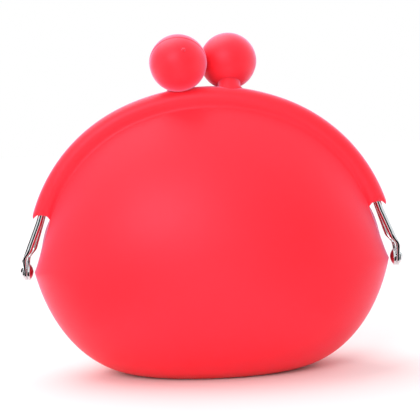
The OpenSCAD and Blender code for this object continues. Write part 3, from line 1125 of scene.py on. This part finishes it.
@dataclass
class SteelArch:
    """One arch of the frame: a rolled channel that flattens into an ear at each hinge."""

    line: ArchLine
    side: Side
    ear_x: float
    sheet: float = 0.7
    wide: float = 3.2
    deep: float = 1.6
    roll_r: float = 1.0
    soft: float = 0.16
    seam: float = 0.06
    hem_deg: float = 6.0
    hem_lip: float = 0.3
    hem_hollow: float = 0.5
    channel_end_h: float = 6.6
    roll_end_h: float = 3.9
    taper: float = 2.4
    knee_h: float = 3.6
    bend: float = 1.1
    meet: float = 0.12
    overlap: float = 0.4
    ear_r: float = 2.3
    boss_r: float = 0.8
    boss_h: float = 0.45
    boss_up: float = 2.8
    boss_sunk: float = 0.1

    def turned(self, half: float, r: float) -> list[tuple[float, float]]:
        """Quarter turn from the web round to a flange, as depth and place across.

        Args:
            half: Half width over the flanges.
            r: Outer radius of the turn.

        Returns:
            Eleven points.
        """
        turn = np.radians(np.linspace(0.0, 90.0, 11))
        return [(r - r * math.cos(q), half - r + r * math.sin(q)) for q in turn]

    def channel(self) -> np.ndarray:
        """Half of the channel's section, from its web's outside round the lip to its inside."""
        half, t = self.wide / 2, self.sheet
        lip_r = t / 2
        depth, place = self.deep - lip_r, half - lip_r
        around = np.radians(np.linspace(0.0, 180.0, 9))
        lip = [(depth + lip_r * math.sin(q), place + lip_r * math.cos(q)) for q in around]
        inside = self.turned(half - t, self.roll_r - t)[::-2]
        back = [(t + x, y) for x, y in inside]
        return np.array([(0.0, 0.0), *self.turned(half, self.roll_r), *lip, *back, (t, 0.0)])

    def hem(self) -> np.ndarray:
        """Half of the section on the bare arm, where the lips are pressed in until they meet."""
        half, r, d, t = self.wide / 2, self.roll_r, self.deep, self.sheet
        round_in = np.radians(np.linspace(8.0, 84.0, 7))
        lip = [(r + (d - r) * math.sin(q), half * math.cos(q)) for q in round_in]
        lip += [(d, self.seam / 2), (d - self.hem_lip, self.seam / 2)]
        back = [(d - self.hem_hollow, (half - t) * k) for k in (0.2, 0.4, 0.6)]
        back += [(t, (half - t) * k) for k in (0.8, 0.5, 0.2)]
        return np.array([(0.0, 0.0), *self.turned(half, r), *lip, *back, (t, 0.0)])

    def strap(self, half: float) -> np.ndarray:
        """Half of the flat ear's section, with as many points as the channel's.

        Args:
            half: Half of its width.

        Returns:
            Rows of depth and place across.
        """
        t = self.sheet
        c = min(self.soft, 0.9 * half)
        around = np.radians(np.linspace(0.0, 90.0, 9))
        lip = [(t - c + c * math.sin(q), half - c + c * math.cos(q)) for q in around]
        back = [(t, (half - c) * k) for k in (0.9, 0.75, 0.6, 0.45, 0.3, 0.15)]
        return np.array([(0.0, 0.0), *self.turned(half, c), *lip, *back, (t, 0.0)])

    def ring(self, web: np.ndarray, inward: np.ndarray, half_section: np.ndarray) -> np.ndarray:
        """Places a section on the arch.

        Args:
            web: Middle of the web's outside.
            inward: Unit vector from the web towards the lips.
            half_section: Rows of depth and place across, for one half.

        Returns:
            The closed ring of points.
        """
        other = half_section[-2:0:-1] * np.array([1.0, -1.0])
        whole = np.concatenate([half_section, other])
        y = np.array([0.0, 1.0, 0.0])
        return web + whole[:, :1] * inward + whole[:, 1:] * y

    def soft_ramp(self, x: float, width: float) -> float:
        """The larger of a number and 0, with a round corner between.

        Args:
            x: The number.
            width: How far the corner reaches either way.

        Returns:
            The softened number.
        """
        if abs(x) >= width:
            return max(x, 0.0)
        return (x + width) ** 2 / (4.0 * width)

    def arm_point(self, h: float) -> np.ndarray:
        """Middle of the right arm's web.

        Args:
            h: Height over the hinge axis.

        Returns:
            The point.
        """
        line = self.line
        start = line.point(line.end_deg, self.deep / 2 + line.channel_offset(line.end_deg), 0.0)
        slope = (self.ear_x - start[0]) / (start[2] - line.hinge_h - self.knee_h)
        x = self.ear_x - slope * self.soft_ramp(h - self.knee_h, self.bend)
        near = 1.0 - self.soft_ramp(1.0 - h / self.channel_end_h, self.meet)
        return np.array([x, -line.frame_y * max(near, 0.0), line.hinge_h + h])

    def arm(self) -> list[np.ndarray]:
        """Rings of the right arm, from the sleeve down to the tip of the ear."""
        line = self.line
        top = line.point(line.end_deg, 0.0, 0.0)[2] - line.hinge_h
        tip = -self.ear_r * np.sin(np.radians(np.linspace(6.0, 84.0, 14)))
        heights = np.concatenate([np.linspace(top - self.overlap, 0.0, 46), tip])
        rings = []
        for h in heights:
            here, below = self.arm_point(h), self.arm_point(h - 0.05)
            fall = below - here
            inward = np.array([fall[2], 0.0, -fall[0]]) / math.hypot(fall[0], fall[2])
            rolled = float(ease((h - self.roll_end_h) / self.taper))
            if h > 0.0:
                half = mix(self.ear_r, self.wide / 2, float(ease(h / self.channel_end_h)))
            else:
                half = math.sqrt(max(self.ear_r**2 - h * h, 0.01))
            section = mix(self.strap(half), self.hem(), rolled)
            rings.append(self.ring(here, inward, section))
        return rings

    def rings(self) -> np.ndarray:
        """All rings of the formed strip, ear to ear."""
        line = self.line
        arm = self.arm()
        arch = []
        for deg in np.linspace(-line.end_deg, line.end_deg, 181):
            web = line.point(deg, self.deep / 2 + line.channel_offset(deg), -line.frame_y)
            inward = line.point(deg, 0.0, -line.frame_y) - web
            pressed = float(ease(2.0 - 2.0 * (line.end_deg - abs(deg)) / self.hem_deg))
            section = mix(self.channel(), self.hem(), pressed)
            arch.append(self.ring(web, inward / np.linalg.norm(inward), section))
        left = [r * np.array([-1.0, 1.0, 1.0]) for r in arm[::-1]]
        return np.array(left + arch + arm)

    def boss(self, draft: MeshDraft) -> None:
        """Adds the pressed boss on the outside of both ears.

        Args:
            draft: Where it goes.
        """
        y = -self.line.frame_y * self.boss_up / self.channel_end_h
        z = self.line.hinge_h + self.boss_up
        turns = np.linspace(0.0, 2 * math.pi, 41)[:-1]
        sunk, high = self.boss_sunk, self.boss_sunk + self.boss_h
        for way in (1.0, -1.0):
            rows = []
            for q in np.linspace(0.0, 0.5 * math.pi, 9):
                x = np.full(len(turns), way * (self.ear_x - sunk + high * math.sin(q)))
                r = self.boss_r * math.cos(q)
                rows.append(np.stack([x, y + r * np.cos(turns), z + r * np.sin(turns)], axis=1))
            draft.grid(np.array(rows), closed=True)

    def build(self, material: bpy.types.Material) -> bpy.types.Object:
        """Makes the arch, dresses it and rides it on its half of the frame.

        Args:
            material: Its plated steel.

        Returns:
            The arch.
        """
        draft = MeshDraft()
        rings = self.rings()
        ids = draft.grid(rings, closed=True)
        draft.fill(list(ids[0]))
        draft.fill(list(ids[-1]))
        if self.side is Side.FRONT:
            self.boss(draft)
        draft.turn(self.side)
        arch = draft.build(f"{self.side.value}_steel_arch", crease_deg=40.0)
        arch.data.materials.append(material)
        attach(arch, self.side.body)
        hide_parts(f"{self.side.value}_arch")
        return arch


@dataclass
class SteelParts:
    """The steel that the frame model already holds: studs, beads, rivets and washers."""

    chrome: bpy.types.Material
    bead: bpy.types.Material
    chrome_nodes: tuple[str, ...] = (
        "front_clasp_stud", "back_clasp_stud",
        "left_rivet", "right_rivet", "left_washer", "right_washer",
    )
    bead_nodes: tuple[str, ...] = ("front_ball_core", "back_ball_core")

    def dress(self, nodes: dict[str, bpy.types.Object]) -> None:
        """Gives each steel node its finish.

        Args:
            nodes: Objects of the frame by node name.
        """
        for names, material in ((self.chrome_nodes, self.chrome), (self.bead_nodes, self.bead)):
            for name in names:
                node = nodes[name]
                if not node.material_slots:
                    node.data.materials.append(material)
                for place in node.material_slots:
                    place.material = material
                LOG.info("dressed %s", name)


@dataclass
class Studio:
    """Plain pale floor, soft light and the camera at the photograph's angle."""

    image_px: float = 420.0
    scale_mm_per_px: float = 0.2603
    hinge_px: tuple[float, float] = (211.75, 264.25)
    hinge_h: float = 28.0
    distance: float = 350.0
    pitch_deg: float = 6.2
    roll_deg: float = 2.41
    sensor: float = 36.0
    clip_m: float = 0.01
    world_level: float = 0.80
    lamp_aim_m: tuple[float, float, float] = (0.0, 0.0, 0.035)
    # The floor's faint pink shows only where it is shaded, as painted red light from the purse in its
    # shadow; where lit, it renders white.
    floor_finish: MattFinish = MattFinish(
        "floor_white", (0.97, 0.89, 0.895), (0.99, 0.91, 0.915), 30.0, 3.0
    )
    floor_half: float = 900.0
    floor_z: float = -0.02
    card_finish: MattFinish = MattFinish(
        "black_card", (0.01, 0.013, 0.013), (0.015, 0.02, 0.02), 20.0, 2.0
    )
    card_near: float = 45.0
    card_far: float = 180.0
    card_front: float = -130.0
    card_back: float = -20.0
    card_low: float = 1.0
    card_high: float = 140.0
    back_card: tuple[float, float, float, float] = (-350.0, 0.0, -150.0, 400.0)
    back_card_high: float = 300.0

    def camera(self) -> bpy.types.Object:
        """Places the camera so that the hinge line lands on its pixel of the photograph."""
        pitch, roll = math.radians(self.pitch_deg), math.radians(self.roll_deg)
        px = self.image_px / 2 - self.hinge_px[0]
        py = self.hinge_px[1] - self.image_px / 2
        right = self.scale_mm_per_px * (px * math.cos(roll) + py * math.sin(roll))
        up = self.scale_mm_per_px * (py * math.cos(roll) - px * math.sin(roll))
        aim = Vector((right, 0.0, self.hinge_h + up / math.cos(pitch)))
        back = Vector((0.0, -math.cos(pitch), math.sin(pitch)))
        over = Vector((0.0, math.sin(pitch), math.cos(pitch)))
        x_axis = Vector((1.0, 0.0, 0.0)) * math.cos(roll) - over * math.sin(roll)
        y_axis = Vector((1.0, 0.0, 0.0)) * math.sin(roll) + over * math.cos(roll)
        data = bpy.data.cameras.new("camera")
        data.sensor_width = self.sensor
        data.lens = self.sensor * self.distance / (self.image_px * self.scale_mm_per_px)
        data.clip_start = self.clip_m
        camera = bpy.data.objects.new("camera", data)
        place = Matrix((x_axis, y_axis, back)).transposed().to_4x4()
        place.translation = (aim + back * self.distance) * MM
        camera.matrix_world = place
        bpy.context.scene.collection.objects.link(camera)
        bpy.context.scene.camera = camera
        return camera

    def lamp(self, name: str, place_m: tuple[float, ...], size_m: float, watts: float) -> None:
        """Adds a square soft lamp aimed at the purse.

        Args:
            name: Name of the lamp.
            place_m: Where it hangs.
            size_m: Length of its side.
            watts: Its power.
        """
        data = bpy.data.lights.new(name, "AREA")
        data.size = size_m
        data.energy = watts
        lamp = bpy.data.objects.new(name, data)
        lamp.location = place_m
        aim = Vector(self.lamp_aim_m) - Vector(place_m)
        lamp.rotation_euler = aim.to_track_quat("-Z", "Y").to_euler()
        bpy.context.scene.collection.objects.link(lamp)

    def world(self) -> None:
        """Sets a level white world that the camera and reflections see as plain white."""
        n = Nodes(bpy.data.worlds.new("plain_white"))
        path = n.add("LightPath")
        seen = path.outputs["Is Camera Ray"]
        for ray in ("Is Glossy Ray", "Is Transmission Ray"):
            seen = n.calc("MAXIMUM", seen, path.outputs[ray])
        light = n.add("Background")
        n.put(light, {"Color": (1.0, 1.0, 1.0)})
        n.join(n.spread(seen, self.world_level, 1.0), light.inputs["Strength"])
        bpy.context.scene.world = n.finish(light.outputs["Background"])

    def sheet(
        self, name: str, corners: list[tuple[float, float, float]], finish: MattFinish
    ) -> bpy.types.Object:
        """Lays or stands a flat sheet in the studio.

        Args:
            name: Name of the sheet.
            corners: Its four corners in turn.
            finish: What it is painted with.

        Returns:
            The sheet.
        """
        draft = MeshDraft()
        first = draft.add(np.array(corners))
        draft.fill([first + k for k in range(4)])
        sheet = draft.build(name)
        sheet.data.materials.append(finish.material())
        return sheet

    def card(self, name: str, corners: list[tuple[float, float, float]]) -> None:
        """Puts up a black card beside the set, which only gloss picks up.

        Args:
            name: Name of the card.
            corners: Its four corners in turn.
        """
        card = self.sheet(name, corners, self.card_finish)
        card.visible_camera = False
        card.visible_diffuse = False
        card.visible_transmission = False
        card.visible_shadow = False

    def cards(self) -> None:
        """Puts up a standing and a lying card on both sides, and one behind on the left."""
        front, back, low = self.card_front, self.card_back, self.card_low
        for way, side in ((-1.0, "left"), (1.0, "right")):
            near, far = way * self.card_near, way * self.card_far
            edge = [(near, front, low), (far, front, low)]
            standing = [(far, front, self.card_high), (near, front, self.card_high)]
            self.card(f"{side}_standing_card", edge + standing)
            self.card(f"{side}_lying_card", [*edge, (far, back, low), (near, back, low)])
        x, y, end_x, end_y = self.back_card
        high = self.back_card_high
        edge = [(x, y, low), (end_x, end_y, low)]
        self.card("left_back_card", [*edge, (end_x, end_y, high), (x, y, high)])

    def build(self) -> None:
        """Sets up the whole studio."""
        bpy.context.scene.view_settings.view_transform = "Standard"
        self.camera()
        self.world()
        half, z = self.floor_half, self.floor_z
        corners = [(-half, -half, z), (half, -half, z), (half, half, z), (-half, half, z)]
        self.sheet("floor", corners, self.floor_finish)
        self.lamp("top_soft", (-0.6, 0.5, 1.9), 1.7, 21.0)
        self.lamp("front_soft", (-0.7, -1.7, 1.0), 0.9, 14.0)
        self.cards()


def main() -> None:
    """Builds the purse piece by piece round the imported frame."""
    logging.basicConfig(level=logging.INFO, format="%(message)s")
    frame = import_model()
    line = ArchLine()
    Studio().build()
    silicone = SiliconeFinish().material()
    chrome = ChromeFinish().material()
    SteelParts(chrome, BeadFinish().material()).dress(frame["nodes"])
    for side, ear_x in ((Side.FRONT, FRONT_EAR_X), (Side.BACK, BACK_EAR_X)):
        arch = SteelArch(line, side, ear_x).build(chrome)
        LOG.info("built %s with %d faces", arch.name, len(arch.data.polygons))
    for side in Side:
        skin = Skin(line, side).build(silicone)
        LOG.info("built %s with %d faces", skin.name, len(skin.data.polygons))
        ball = ClaspBall(line, side).build(silicone)
        LOG.info("built %s with %d faces", ball.name, len(ball.data.polygons))
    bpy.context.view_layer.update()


if __name__ == "__main__":
    main()
